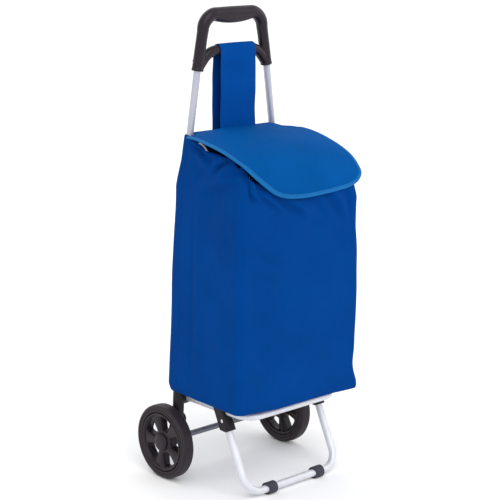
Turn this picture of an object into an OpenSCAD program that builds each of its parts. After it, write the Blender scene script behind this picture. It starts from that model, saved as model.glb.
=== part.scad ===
// Folding two-wheel shopping trolley with a soft bag, in millimetres.
// +Z is up and the front faces -Y. The origin is on the floor, under the middle of the trolley.
// Inside the modules y is measured from the axle, and place() moves each piece into the row.

/* [Wheels] */
// Outer diameter of the wheels
wheel_d = 150; // [148:1:152]
// Width of the tyres
tyre_w = 24; // [22:1:25]
// Distance between the middles of the two wheels
track_w = 317.5; // [317:0.5:319]
// Diameter of the axle
axle_d = 12; // [11.6:0.1:12]
// Distance of the axle behind the middle of the trolley
axle_y = 73.9; // [70:0.1:80]

/* [Frame] */
// Outer diameter of the frame and platform tubes
tube_d = 13.5; // [13:0.1:13.6]
// Wall of the frame, platform and leg tubes
tube_wall = 1.2; // [1:0.1:1.5]
// Half the distance between the frame tubes at the brackets
tube_x = 132.5; // [132:0.1:133]
// Lean of the lower tubes towards each other, in degrees
lower_deg = 1.83; // [1.7:0.01:1.9]
// Lean of the upper tubes towards each other, in degrees
upper_deg = 8.14; // [8:0.01:8.3]
// Forward lean of the whole frame, in degrees
lean_deg = 1.16; // [1:0.01:1.3]
// Height at which the tubes bend
bend_z = 600; // [595:1:605]

/* [Handle] */
// Height of the top of the grip
grip_top = 924; // [920:1:928]
// Thickness of the handle's legs and corners
handle_d = 26; // [25:0.5:27]
// Thickness of the grip at its middle
grip_d = 30; // [28:0.5:31]
// Thickness of the crossbar that carries the bag
arch_d = 21; // [19:0.5:22]
// Width of the strap over the crossbar
strap_w = 91; // [80:1:92]

/* [Platform and leg] */
// Half the distance between the platform's side tubes
platform_x = 118; // [117.8:0.1:118.2]
// Height of the platform's tube
platform_z = 162.75; // [162.5:0.05:163]
// Distance of the platform's front tube before the axle
platform_front = 201; // [199:1:203]
// Bend radius of the platform's front corners
platform_r = 34; // [30:1:38]
// Outer diameter of the leg's tube
leg_d = 15; // [14.5:0.1:15]
// Half the distance between the leg's sides
leg_x = 120.3; // [120.2:0.1:120.4]
// Bend radius of the leg's corners
leg_r = 36; // [32:1:40]
// Outer diameter of the rubber feet
foot_d = 24; // [23.6:0.1:24.4]
// Length of each rubber foot
foot_len = 23; // [20:1:26]

/* [Bag] */
// Height of the underside of the bag
bag_z = 174; // [174:0.5:175]
// Thickness of the bag's wall
bag_wall = 2.5; // [2:0.1:2.6]
// Height of the flap's rear edge
flap_z = 697; // [696:0.5:698]
// Length of the flap from its rear edge to its front hem
flap_len = 258; // [250:1:262]
// Thickness of the flap
flap_wall = 2.4; // [2:0.1:2.6]

/* [Hidden] */
$fn = 48;

blue = [0.00, 0.28, 0.59];
pale_blue = [0.12, 0.45, 0.72];
silver = [0.77, 0.79, 0.83];
steel = [0.45, 0.45, 0.48];
black = [0.16, 0.15, 0.17];
grey = [0.33, 0.35, 0.40];

press = 0.05;          // radial gap of a seated fit
running = 0.06;        // radial gap of a pin or shaft that turns
past = 1;              // how far a cutter runs past the face it opens

// frame
axle_z = wheel_d / 2;
tube_y = -11;          // the tubes' distance from the axle at the height tube_ref
tube_ref = 165;
bend_x = tube_x - (bend_z - tube_ref) * tan(lower_deg);
tube_low = 100;
tube_high = 844;
bore_d = tube_d - 2 * tube_wall;

// handle
grip_z = grip_top - handle_d / 2;
belly_z = grip_z - 5;
socket_z = 806;
socket_x = 89;
handle_deg = 11.1;
corner_r = 32;
corner_x = socket_x - (grip_z - socket_z) * tan(handle_deg);
corner_t = corner_r * tan((90 - handle_deg) / 2);
handle_leg = (grip_z - socket_z) / cos(handle_deg) - corner_t;
grip_half = corner_x - corner_t;
belly_low = belly_z - grip_top + grip_d;
belly_sag = 4.5;
arch_z = 843;
arch_flat = 40;
arch_r = 40;
arch_turn = 50;
arch_run = 21;
fuller = 0.2;
bite = 1;
rivet_r = 2;
rivet_z = 825;
rivet_x = 86;

// rear brackets
socket_d = 22.4;
bracket_top = 182;
bracket_in = 121.5;
bracket_out = 143.5;
boss_r = 13;
web_z = 118;
screw_z = 132;
lobe_in = 106;
lobe_out = 124;
hinge_y = -11;
hinge_r = 3;
slot_in = 112;
slot_out = 120.9;
eye_in = 112.5;
eye_out = 120.5;
eye_r = tube_d / 2;
flat_end = -37;

// wheels
rim_r = 59;
rim_half = 11;
plate_low = 3;
plate_high = 9;
boss_low = -12.8;
hub_boss_r = 18;
spokes = 5;
window_in = 25;
window_out = 50;
window_half_deg = 21;
left_window_deg = 49;
right_window_deg = 20;
cap_r = 17.5;
cap_high = 17;
washer_t = 1.6;
axle_half = 172.4;

// clamps and leg
pivot_y = -139;
pivot_z = 145.7;
pivot_r = 4;
foot_y = -203;
foot_z = 11.2;
leg_len = norm([foot_y - pivot_y, foot_z - pivot_z]);
leg_lean = atan((pivot_y - foot_y) / (pivot_z - foot_z));
foot_x = 63;
clamp_in = 108;
clamp_out = 131.5;
channel_in = 112.4;
channel_out = 128.2;
channel_front = 7.9;
clamp_top = 171.8;
clamp_front_r = 7;
clamp_rivet_y = -126;

// bag: height at the front, height at the back, half width in front, front, radius of the front
// corners, radius of the rear corners, which run round the tubes
bag_rings = [
    [bag_z, bag_z, 153, -213, 14, 19],
    [bag_z + 6, bag_z + 6, 156, -217, 14, 19.5],
    [300, 300, 156, -218, 14, 18],
    [450, 450, 155, -219, 15, 17.5],
    [560, 560, 153, -217, 17, 14.5],
    [590, 596, 147, -212.5, 18, 14],
    [622, 645, 136, -203, 18, 12.5],
    [640, 682, 126, -191, 18, 12.2]
];
corner_steps = 6;
mouth_tilt = 11.4;
cord_r = 2;
cord_half_x = 112;
cord_half_y = 73;
cord_corner = 20;

// flap: a flat run, a bend over the bag's front edge and a hanging hem
flap_y = -38;
flap_slope = 8;
flap_run = 150;
flap_bend_r = 36;
flap_hang_deg = 88;
flap_bend = flap_bend_r * (flap_hang_deg - flap_slope) * PI / 180;
flap_rear_half = 132;
flap_front_half = 155;
flap_corner = 45;
flap_droop = 13;
hem_droop = 2;
flap_across = 13;
flap_along = 18;
piping_r = 2;
piping_gap = 0.6;

// ---------- shared shapes ----------

// moves a piece from the axle's frame into the row
module place() translate([0, axle_y, 0]) children();

// draws the right side's shape, or its mirror image on the left
module on_side(s) {
    if (s > 0) children();
    else mirror([1, 0, 0]) children();
}

// leans the frame's own plane forward about the foot of the tubes
module lean()
    translate([0, tube_y, tube_ref]) rotate([lean_deg, 0, 0]) translate([0, 0, -tube_ref])
        children();

// a quarter or less of a ring in the XZ plane, from angle start, round the origin
module arc(d, r, start, turn)
    rotate([90, 0, 0]) rotate([0, 0, start]) rotate_extrude(angle = turn)
        translate([r, 0]) circle(d = d);

// a rod along X
module rod_x(r, x0, x1) translate([x0, 0, 0]) rotate([0, 90, 0]) cylinder(r = r, h = x1 - x0);

// a shape drawn in the YZ plane and extruded along X
module slab_x(x0, x1)
    translate([x0, 0, 0]) rotate([90, 0, 90]) linear_extrude(x1 - x0) children();

// stretches of the right tube's centre line, in the frame's leaning plane
module lower_run(d, z0, z1)
    translate([bend_x, 0, bend_z]) rotate([0, -lower_deg, 0])
        translate([0, 0, (z0 - bend_z) / cos(lower_deg)])
            cylinder(d = d, h = (z1 - z0) / cos(lower_deg));

module upper_run(d, z0, z1)
    translate([bend_x, 0, bend_z]) rotate([0, -upper_deg, 0])
        translate([0, 0, (z0 - bend_z) / cos(upper_deg)])
            cylinder(d = d, h = (z1 - z0) / cos(upper_deg));

// the tube's path: two straight stretches that meet in a ball at the bend
module tube_path(d, z0, z1) {
    lower_run(d, z0, bend_z);
    upper_run(d, bend_z, z1);
    translate([bend_x, 0, bend_z]) sphere(d = d + fuller);
}

// ---------- swept surfaces ----------

function unit(v) = v / norm(v);

// faces of a closed skin through rings of n points each, with both ends capped
function skin_faces(rings, n) = concat(
    [[for (i = [0:n - 1]) i]],
    [for (k = [0:rings - 2]) for (i = [0:n - 1])
        let (a = k * n + i, b = k * n + (i + 1) % n) each [[a, a + n, b + n], [a, b + n, b]]],
    [[for (i = [n - 1:-1:0]) (rings - 1) * n + i]]
);

// ---------- handle and frame ----------

// the straights run a little way into the corners, which are a touch thicker
module handle_side() {
    translate([socket_x, 0, socket_z]) rotate([0, -handle_deg, 0])
        cylinder(d = handle_d, h = handle_leg + bite);
    translate([grip_half, 0, grip_z - corner_r])
        arc(handle_d + fuller, corner_r, handle_deg, 90 - handle_deg);
    translate([0, 0, grip_z]) rod_x(handle_d / 2, 0, grip_half + bite);
    translate([arch_flat, 0, arch_z - arch_r])
        arc(arch_d + fuller, arch_r, 90 - arch_turn, arch_turn);
    translate([0, 0, arch_z]) rod_x(arch_d / 2, 0, arch_flat + bite);
    translate([arch_flat + arch_r * sin(arch_turn), 0, arch_z - arch_r + arch_r * cos(arch_turn)])
        rotate([0, 90 + arch_turn, 0]) translate([0, 0, -bite])
            cylinder(d = arch_d, h = arch_run + bite);
}

// the grip's belly is a barrel with a gently curved side, sunk into the grip's lower half
function belly_at(x) = belly_low - belly_sag * pow(x / grip_half, 2);

module grip_belly()
    translate([-grip_half, 0, belly_z]) rotate([0, 90, 0]) rotate_extrude()
        polygon(concat([[0, 0]],
            [for (k = [0:12]) [belly_at(grip_half * (k / 6 - 1)), grip_half * k / 6]],
            [[0, 2 * grip_half]]));

module handle() color(black) place() lean() difference() {
    union() {
        on_side(1) handle_side();
        on_side(-1) handle_side();
        grip_belly();
    }
    for (s = [-1, 1]) on_side(s) {
        upper_run(tube_d + 2 * press, socket_z - 12, tube_high + past);
        translate([rivet_x, 4, rivet_z]) rotate([-90, 0, 0]) cylinder(r = rivet_r + press, h = 12);
    }
}

module handle_rivets() color(steel) place() lean() for (s = [-1, 1]) on_side(s)
    translate([rivet_x, 0, rivet_z]) rotate([-90, 0, 0]) {
        translate([0, 0, 4]) cylinder(r = rivet_r, h = handle_d / 2 - 3);
        translate([0, 0, handle_d / 2 + 0.2]) cylinder(r = 1.8 * rivet_r, h = 1.2);
    }

module frame_tube(s) color(silver) place() lean() on_side(s) difference() {
    tube_path(tube_d, tube_low, tube_high);
    tube_path(bore_d, tube_low - past, tube_high + past);
    translate([rivet_x, 0, rivet_z]) rotate([-90, 0, 0]) cylinder(r = rivet_r + press, h = 9);
    translate([lower_x(screw_z), 0, screw_z]) rotate([-90, 0, 0])
        cylinder(r = rivet_r + press, h = 9);
}

module frame_tube_left() frame_tube(-1);
module frame_tube_right() frame_tube(1);

// ---------- rear brackets, axle and platform hinge ----------

function lower_x(z) = tube_x - (z - tube_ref) * tan(lower_deg);

module bracket_body() {
    lean() lower_run(socket_d, web_z, bracket_top);
    slab_x(bracket_in, bracket_out) hull() {
        translate([0, axle_z]) circle(r = boss_r);
        translate([tube_y + 1, web_z]) circle(d = socket_d);
    }
    slab_x(lobe_in, lobe_out)
        polygon([[-21, 157], [-21, 171], [-1, 171], [-1, 146], [-10, 146]]);
}

module rear_bracket(s) color(black) place() on_side(s) difference() {
    bracket_body();
    translate([slot_in, -30, platform_z - eye_r - 0.6]) cube([slot_out - slot_in, 26.4, 30]);
    translate([0, hinge_y, platform_z]) rod_x(hinge_r + press, lobe_in - past, 125);
    // the underside of the lobe rises towards the middle
    translate([lobe_in, -30, 146]) rotate([0, 40, 0]) translate([-20, 0, -30]) cube([30, 40, 30]);
    lean() lower_run(tube_d + 2 * press, tube_low, bracket_top + 10);
    translate([0, 0, axle_z]) rod_x(axle_d / 2 + press, 118, 146);
    lean() translate([lower_x(screw_z), 0, screw_z]) rotate([-90, 0, 0])
        cylinder(r = rivet_r + press, h = 20);
}

module rear_bracket_left() rear_bracket(-1);
module rear_bracket_right() rear_bracket(1);

module bracket_screws() color(steel) place() lean() for (s = [-1, 1]) on_side(s)
    translate([lower_x(screw_z), 0, screw_z]) rotate([-90, 0, 0]) {
        translate([0, 0, 4]) cylinder(r = rivet_r, h = socket_d / 2 - 3);
        translate([0, 0, socket_d / 2 + 0.3]) cylinder(r = 1.8 * rivet_r, h = 1.4);
    }

module axle() color(steel) place() translate([0, 0, axle_z]) rod_x(axle_d / 2, -axle_half, axle_half);

// a flat ring on the axle of the right side
module axle_ring(r, x, t) translate([x, 0, axle_z]) rotate([0, 90, 0]) difference() {
    cylinder(r = r, h = t);
    translate([0, 0, -past]) cylinder(r = axle_d / 2 + press, h = t + 2 * past);
}

module axle_washers() color(steel) place() for (s = [-1, 1]) on_side(s) {
    axle_ring(10.5, bracket_out + 0.4, washer_t);
    axle_ring(10.5, track_w / 2 + plate_high + 0.3, 1.2);
}

module axle_push_nuts() color(steel) place() for (s = [-1, 1]) on_side(s)
    axle_ring(9, track_w / 2 + plate_high + 1.7, 2);

module platform_hinge_pins() color(steel) place() for (s = [-1, 1]) on_side(s)
    translate([0, hinge_y, platform_z]) {
        rod_x(hinge_r, lobe_in - 0.2, 124.6);
        rod_x(1.7 * hinge_r, lobe_in - 2, lobe_in - 0.2);
    }

// ---------- wheels ----------

// turns a wheel drawn round Z, with its outer face up, onto the right or left end of the axle
module on_axle(s) place() on_side(s) translate([track_w / 2, 0, axle_z]) rotate([0, 90, 0])
    children();

module tyre(s) color(black) on_axle(s) rotate_extrude($fn = 120) difference() {
    intersection() {
        translate([rim_r + 0.2, -tyre_w / 2]) square([wheel_d / 2 - rim_r, tyre_w]);
        translate([wheel_d / 2 - 60, 0]) circle(r = 60, $fn = 180);
    }
    for (z = [-1, 1]) translate([rim_r + 1.5, z * tyre_w / 2]) circle(r = 1.5);
}

// one window between two spokes, with rounded corners
module window() offset(r = 4) offset(delta = -4) intersection() {
    difference() {
        circle(r = window_out);
        circle(r = window_in);
    }
    polygon([[0, 0], [80 * cos(window_half_deg), -80 * sin(window_half_deg)],
        [80 * cos(window_half_deg), 80 * sin(window_half_deg)]]);
}

module wheel_hub(s, window_deg) color(black) on_axle(s) difference() {
    union() {
        rotate_extrude() translate([window_out + 3, -rim_half])
            square([rim_r - window_out - 3, 2 * rim_half]);
        translate([0, 0, plate_low]) cylinder(r = window_out + 5, h = plate_high - plate_low);
        translate([0, 0, boss_low]) cylinder(r = hub_boss_r, h = plate_high - boss_low);
        for (k = [0:spokes - 1]) rotate([0, 0, window_deg + (k + 0.5) * 360 / spokes])
            translate([hub_boss_r - 2, -1.5, -rim_half + 2])
                cube([window_out + 6.5 - hub_boss_r, 3, rim_half + 4]);
    }
    for (k = [0:spokes - 1]) rotate([0, 0, window_deg + k * 360 / spokes])
        translate([0, 0, plate_low - past]) linear_extrude(plate_high) window();
    translate([0, 0, boss_low - past]) cylinder(r = axle_d / 2 + running, h = 40);
}

module hub_cap(s) color(black) on_axle(s) difference() {
    translate([0, 0, plate_high + 0.1]) cylinder(r = cap_r, h = cap_high - plate_high);
    translate([0, 0, plate_high - past]) cylinder(r = cap_r - 3, h = cap_high - plate_high - 1);
}

module tyre_left() tyre(-1);
module tyre_right() tyre(1);
module wheel_hub_left() wheel_hub(-1, left_window_deg);
module wheel_hub_right() wheel_hub(1, right_window_deg);
module hub_cap_left() hub_cap(-1);
module hub_cap_right() hub_cap(1);

// ---------- folding platform ----------

// half of the platform's tube: side, front corner and half of the front
module platform_half(d, rear) {
    front_y = -platform_front + platform_r;
    translate([platform_x, front_y, 0]) rotate([-90, 0, 0]) cylinder(d = d, h = rear - front_y);
    translate([platform_x - platform_r, front_y, 0]) rotate([0, 0, -90])
        rotate_extrude(angle = 90) translate([platform_r, 0]) circle(d = d);
    translate([0, -platform_front, 0]) rod_x(d / 2, 0, platform_x - platform_r);
}

module platform_rod() color(silver) place() translate([0, 0, platform_z]) difference() {
    for (s = [-1, 1]) on_side(s) {
        platform_half(tube_d, flat_end);
        translate([eye_in, flat_end, -eye_r])
            cube([eye_out - eye_in, hinge_y - flat_end, 2 * eye_r]);
        translate([0, hinge_y, 0]) rod_x(eye_r, eye_in, eye_out);
    }
    for (s = [-1, 1]) on_side(s) {
        platform_half(bore_d, flat_end - 3);
        translate([0, hinge_y, 0]) rod_x(hinge_r + running, eye_in - past, eye_out + past);
        translate([platform_x, clamp_rivet_y, 0]) cylinder(r = rivet_r + press, h = 9);
    }
}

// clamp of the right side: it holds the side tube and carries the leg in an open channel
module clamp_body() intersection() {
    slab_x(clamp_in, clamp_out)
        polygon([[-113, clamp_top], [-134.5, 127], [-150, 126], [-158.5, 130], [-150.5, 150],
            [-147.5, clamp_top]]);
    // rounded front edges that follow the leg
    translate([(clamp_in + clamp_out) / 2, pivot_y, pivot_z]) rotate([-leg_lean, 0, 0])
        translate([0, 0, -60]) linear_extrude(120) union() {
            translate([clamp_in / 2 - clamp_out / 2, -11.5 + clamp_front_r])
                square([clamp_out - clamp_in, 60]);
            for (s = [-1, 1]) translate([s * ((clamp_out - clamp_in) / 2 - clamp_front_r),
                -11.5 + clamp_front_r]) circle(r = clamp_front_r);
            translate([clamp_in / 2 - clamp_out / 2 + clamp_front_r, -11.5])
                square([clamp_out - clamp_in - 2 * clamp_front_r, 20]);
        }
}

module leg_clamp(s) color(black) place() on_side(s) difference() {
    clamp_body();
    // channel for the leg, open below and behind
    slab_x(channel_in, channel_out) polygon([
        [pivot_y - channel_front * cos(leg_lean) + 4.7 * tan(leg_lean) - 1.6, 153.8],
        [-95, 153.8], [-95, 110],
        [pivot_y - channel_front / cos(leg_lean) - 35.7 * tan(leg_lean), 110]]);
    translate([platform_x, -100, platform_z]) rotate([90, 0, 0])
        cylinder(d = tube_d + 2 * press, h = 80);
    translate([0, pivot_y, pivot_z]) rod_x(pivot_r + press, clamp_in - past, clamp_out + past);
    translate([platform_x, clamp_rivet_y, platform_z]) cylinder(r = rivet_r + press, h = 20);
}

module leg_clamp_left() leg_clamp(-1);
module leg_clamp_right() leg_clamp(1);

module clamp_rivets() color(steel) place() for (s = [-1, 1]) on_side(s)
    translate([platform_x, clamp_rivet_y, platform_z]) {
        translate([0, 0, 5.7]) cylinder(r = rivet_r, h = clamp_top - platform_z - 5.6);
        translate([0, 0, clamp_top - platform_z + 0.1]) cylinder(r = 3.4, h = 1.2);
    }

module leg_pivot_pins() color(steel) place() for (s = [-1, 1]) on_side(s)
    translate([0, pivot_y, pivot_z]) {
        rod_x(pivot_r, clamp_in - 0.3, clamp_out - 0.9);
        rod_x(1.4 * pivot_r, clamp_in - 2.1, clamp_in - 0.3);
    }

// ---------- folding leg ----------

// puts a shape drawn round the leg's pivot line, with the leg straight down, in its place
module on_leg() place() translate([0, pivot_y, pivot_z]) rotate([-leg_lean, 0, 0]) children();

module leg_half(d, top) {
    low_z = -leg_len + leg_r;
    translate([leg_x, 0, low_z]) cylinder(d = d, h = top - low_z);
    translate([leg_x - leg_r, 0, low_z]) arc(d, leg_r, -90, 90);
    translate([0, 0, -leg_len]) rod_x(d / 2, 0, leg_x - leg_r);
}

module leg_tube() color(silver) on_leg() difference() {
    for (s = [-1, 1]) on_side(s) {
        leg_half(leg_d, 0);
        translate([leg_x, 0, 0]) sphere(d = leg_d);
    }
    for (s = [-1, 1]) on_side(s) {
        leg_half(leg_d - 2 * tube_wall, -8);
        rod_x(pivot_r + running, leg_x - leg_d, leg_x + leg_d);
    }
}

module foot(s) color(grey) difference() {
    on_leg() translate([s * foot_x, 0, -leg_len]) difference() {
        rod_x(foot_d / 2, -foot_len / 2, foot_len / 2);
        rod_x(leg_d / 2 + press, -foot_len, foot_len);
        // the slit by which the foot is pushed over the tube
        rotate([60, 0, 0]) translate([-foot_len, 0, -3]) cube([2 * foot_len, foot_d, 6]);
    }
    translate([-200, -250, -20]) cube([400, 400, 20]);
}

module foot_left() foot(-1);
module foot_right() foot(1);

// ---------- bag ----------

// the tube's centre line at a height z: its distance from the middle plane and from the axle
function path_x(z) = z < bend_z ? lower_x(z) : bend_x - (z - bend_z) * tan(upper_deg);
function path_y(z) = tube_y - (z - tube_ref) * tan(lean_deg);

// a loop seen from above, anticlockwise, whose height rises from front to back
function bag_ring(r, inset) =
    let (rear_x = path_x(r[1]), rear_y = path_y(r[1]), back = rear_y + r[5])
    [for (q = [0:3]) for (i = [0:corner_steps])
        let (a = q * 90 + i * 90 / corner_steps,
            side = (q == 0 || q == 3) ? 1 : -1,
            c = (q < 2 ? r[5] : r[4]) - inset,
            x = side * (q < 2 ? rear_x : r[2] - r[4]) + c * cos(a),
            y = (q < 2 ? rear_y : r[3] + r[4]) + c * sin(a))
        [x, y, r[0] + (r[1] - r[0]) * (y - r[3]) / (back - r[3])]];

module bag_shell() {
    last = len(bag_rings) - 1;
    floor_ring = [for (p = bag_ring(bag_rings[1], bag_wall)) [p[0], p[1], bag_z + bag_wall]];
    rings = concat(
        [for (k = [0:last]) bag_ring(bag_rings[k], 0)],
        [for (k = [last:-1:1]) bag_ring(bag_rings[k], bag_wall)],
        [floor_ring]
    );
    polyhedron(points = [for (r = rings) each r], faces = skin_faces(len(rings), len(rings[0])));
}

// the bag keeps its own size: resize() only joins the cut shell into one skin
module bag_body() color(blue) place() resize([0, 0, 0]) difference() {
    bag_shell();
    // the rear corners are cut away over the brackets
    for (s = [-1, 1]) on_side(s) lean() lower_run(socket_d + 3.5, 160, bracket_top + 4);
}

module base_board() color(black) place() translate([0, 0, bag_z + bag_wall + 0.4])
    linear_extrude(2.5) {
        translate([-136, -190]) square([272, 150]);
        translate([-121, -205]) square([242, 180]);
        for (x = [-121, 121]) for (y = [-190, -40]) translate([x, y]) circle(r = 15);
    }

module bag_sleeve(s) color(blue) place() lean() on_side(s) difference() {
    tube_path(tube_d + 3.6, 190, 690);
    tube_path(tube_d + 1.3, 190 - past, 690 + past);
}

module bag_sleeve_left() bag_sleeve(-1);
module bag_sleeve_right() bag_sleeve(1);

// the strap goes over the crossbar: its front ply meets the flap, its rear ply the bag's back
module hanging_strap() color(blue) place() {
    top_y = tube_y - (arch_z - tube_ref) * tan(lean_deg);
    inner = arch_d / 2 + 0.6;
    outer = inner + 1.6;
    slab_x(-strap_w / 2, strap_w / 2) polygon(concat(
        [[-34.8, 701]],
        [for (a = [180:-12:0]) [top_y + outer * cos(a), arch_z + outer * sin(a)]],
        [[-5.6, 640], [-7.2, 640]],
        [for (a = [0:12:180]) [top_y + inner * cos(a), arch_z + inner * sin(a)]],
        [[-33.2, 701]]
    ));
}

// a cord in the hem of the bag's mouth
module drawstring() color(silver) place()
    translate([0, -109, 655]) rotate([mouth_tilt, 0, 0]) for (s = [-1, 1]) on_side(s) {
        translate([cord_half_x, -cord_half_y + cord_corner, 0]) rotate([-90, 0, 0])
            cylinder(r = cord_r, h = 2 * (cord_half_y - cord_corner));
        for (t = [-1, 1]) translate([0, t * cord_half_y, 0])
            rod_x(cord_r, 0, cord_half_x - cord_corner);
        for (t = [0, 1])
            translate([cord_half_x - cord_corner, (2 * t - 1) * (cord_half_y - cord_corner), 0])
                rotate([0, 0, 90 * t - 90]) rotate_extrude(angle = 90)
                    translate([cord_corner, 0]) circle(r = cord_r);
    }

// ---------- flap ----------

// heading of the flap's middle line below the horizontal, at a distance s from its rear edge
function flap_deg(s) = s < flap_run ? flap_slope
    : min(flap_hang_deg, flap_slope + (s - flap_run) / flap_bend_r * 180 / PI);

// [y, z] of the flap's middle line
function flap_line(s) = s < flap_run
    ? [flap_y - s * cos(flap_slope), flap_z - s * sin(flap_slope)]
    : s < flap_run + flap_bend
        ? flap_line(flap_run - 0.001) + flap_bend_r * [sin(flap_slope), -cos(flap_slope)]
            + flap_bend_r * [-sin(flap_deg(s)), cos(flap_deg(s))]
        : flap_line(flap_run + flap_bend - 0.001)
            - (s - flap_run - flap_bend) * [cos(flap_hang_deg), sin(flap_hang_deg)];

// half width, which grows to the front and is rounded at the hem
function flap_half(s) =
    let (grown = flap_rear_half + (flap_front_half - flap_rear_half) * min(1, s / 190),
        over = max(0, s - flap_len + flap_corner))
    grown - flap_corner + sqrt(max(0, pow(flap_corner, 2) - pow(over, 2)));

// how far the sides droop below the middle: less where the flap hangs in front of the bag
function droop_at(s) =
    flap_droop - (flap_droop - hem_droop) * min(1, max(0, (s - flap_run) / flap_bend));

// a point of the flap at u from -1 to 1 across, at a depth below the upper face
function flap_point(u, s, depth) =
    let (p = flap_line(s), a = flap_deg(s), d = depth + droop_at(s) * pow(u, 4))
    [u * flap_half(s), p[0] + d * sin(a), p[1] - d * cos(a)];

function flap_stops() = [for (k = [0:flap_along]) k / flap_along * flap_len];

module flap_panel() color(blue) place() {
    u = [for (i = [0:flap_across - 1]) -1 + 2 * i / (flap_across - 1)];
    rings = [for (s = flap_stops()) concat(
        [for (v = u) flap_point(-v, s, 0)],
        [for (v = u) flap_point(v, s, flap_wall)])];
    polyhedron(points = [for (r = rings) each r], faces = skin_faces(len(rings), 2 * flap_across));
}

// the piping follows the two sides and the hem
module flap_piping() color(pale_blue) place() {
    stops = flap_stops();
    path = concat(
        [for (s = stops) flap_point(-1, s, flap_wall / 2)],
        [for (i = [1:flap_across - 2])
            flap_point(-1 + 2 * i / (flap_across - 1), flap_len, flap_wall / 2)],
        [for (k = [len(stops) - 1:-1:0]) flap_point(1, stops[k], flap_wall / 2)]
    );
    middle = [0, flap_y - 0.75 * flap_run, flap_z - 0.2 * flap_run];
    last = len(path) - 1;
    rings = [for (i = [0:last])
        let (t = unit(path[min(i + 1, last)] - path[max(i - 1, 0)]),
            side = unit(cross(t, path[i] - middle)), out = cross(side, t),
            c = path[i] + (piping_r + flap_wall / 2 + piping_gap) * out)
        [for (k = [0:7]) c + piping_r * (cos(45 * k) * side + sin(45 * k) * out)]];
    polyhedron(points = [for (r = rings) each r], faces = skin_faces(len(rings), 8));
}

handle();
handle_rivets();
frame_tube_left();
frame_tube_right();
rear_bracket_left();
rear_bracket_right();
bracket_screws();
axle();
axle_washers();
axle_push_nuts();
platform_hinge_pins();
bag_body();
base_board();
bag_sleeve_left();
bag_sleeve_right();
hanging_strap();
drawstring();
tyre_left();
wheel_hub_left();
hub_cap_left();
tyre_right();
wheel_hub_right();
hub_cap_right();
platform_rod();
leg_clamp_left();
leg_clamp_right();
clamp_rivets();
leg_pivot_pins();
leg_tube();
foot_left();
foot_right();
flap_panel();
flap_piping();
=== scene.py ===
"""Folding shopping trolley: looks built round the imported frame. Lengths below are in millimetres, with y
measured from the axle, and put() turns them into the frame's metres."""
import math

import bpy
import numpy as np
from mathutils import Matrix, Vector, noise


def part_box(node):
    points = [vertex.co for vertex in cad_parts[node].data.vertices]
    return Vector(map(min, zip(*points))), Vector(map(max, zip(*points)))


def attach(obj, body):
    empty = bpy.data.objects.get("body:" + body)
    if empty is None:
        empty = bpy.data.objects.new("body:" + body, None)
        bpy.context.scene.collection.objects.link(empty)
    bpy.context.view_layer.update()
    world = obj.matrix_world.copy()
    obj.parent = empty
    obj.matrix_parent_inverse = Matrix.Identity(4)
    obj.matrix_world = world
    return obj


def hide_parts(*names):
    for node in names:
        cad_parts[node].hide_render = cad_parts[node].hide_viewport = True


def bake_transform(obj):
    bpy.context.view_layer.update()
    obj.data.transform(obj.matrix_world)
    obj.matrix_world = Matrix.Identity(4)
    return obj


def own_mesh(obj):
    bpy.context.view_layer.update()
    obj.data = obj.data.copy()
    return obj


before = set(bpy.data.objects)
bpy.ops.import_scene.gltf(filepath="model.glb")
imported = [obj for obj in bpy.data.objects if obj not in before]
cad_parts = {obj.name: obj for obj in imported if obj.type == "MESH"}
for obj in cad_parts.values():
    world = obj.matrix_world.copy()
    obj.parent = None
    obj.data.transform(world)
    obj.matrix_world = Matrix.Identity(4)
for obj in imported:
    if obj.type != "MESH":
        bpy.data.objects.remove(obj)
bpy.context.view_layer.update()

MM = 0.001          # metres in a millimetre
AXLE_Y = 73.9       # the axle's y in the frame
SHIFT = np.array([0.0, AXLE_Y, 0.0])
SIDES = ((-1, "left"), (1, "right"))


# ---------- numbers shared by several pieces ----------

def tan(degrees):
    return math.tan(math.radians(degrees))


TUBE_RADIUS = 6.75
TUBE_X, TUBE_Y, TUBE_Z = 132.5, -11, 165        # a point on the line of a frame tube's lower part
UPPER_X, UPPER_Z = 118.6, 600                   # and one on the line of its upper part
LOWER_LEAN, UPPER_LEAN, BACK_LEAN = tan(1.83), tan(8.14), tan(1.16)
BEND_LOW, BEND_HIGH = 586, 614                  # the heights between which it bends
WHEEL_X, WHEEL_RADIUS = 158.75, 75
WINDOWS = 5                                     # openings in a wheel
BAR_Z = 842.6                                   # height of the handle's crossbar
SEAM_Y = -38                                    # the line on which the flap hinges


def lean_y(z):
    """y of the frame tubes' plane at height z."""
    return TUBE_Y - (z - TUBE_Z) * BACK_LEAN


def tube_axis(z):
    """[|x|, y] of a frame tube's centre at height z: two leaning straights joined by a soft bend."""
    z = np.asarray(z, float)
    lower = TUBE_X - (z - TUBE_Z) * LOWER_LEAN
    upper = UPPER_X - (z - UPPER_Z) * UPPER_LEAN
    bend = BEND_HIGH - BEND_LOW
    t = np.clip((z - BEND_LOW) / bend, 0, 1)
    drift = LOWER_LEAN * t + (UPPER_LEAN - LOWER_LEAN) * t * t / 2
    middle = TUBE_X - (BEND_LOW - TUBE_Z) * LOWER_LEAN - bend * drift
    return np.where(z < BEND_LOW, lower, np.where(z > BEND_HIGH, upper, middle)), lean_y(z)


def smooth(t):
    """0 below 0, 1 above 1 and a soft step between."""
    t = np.clip(t, 0, 1)
    return t * t * (3 - 2 * t)


# ---------- mesh makers ----------

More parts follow.
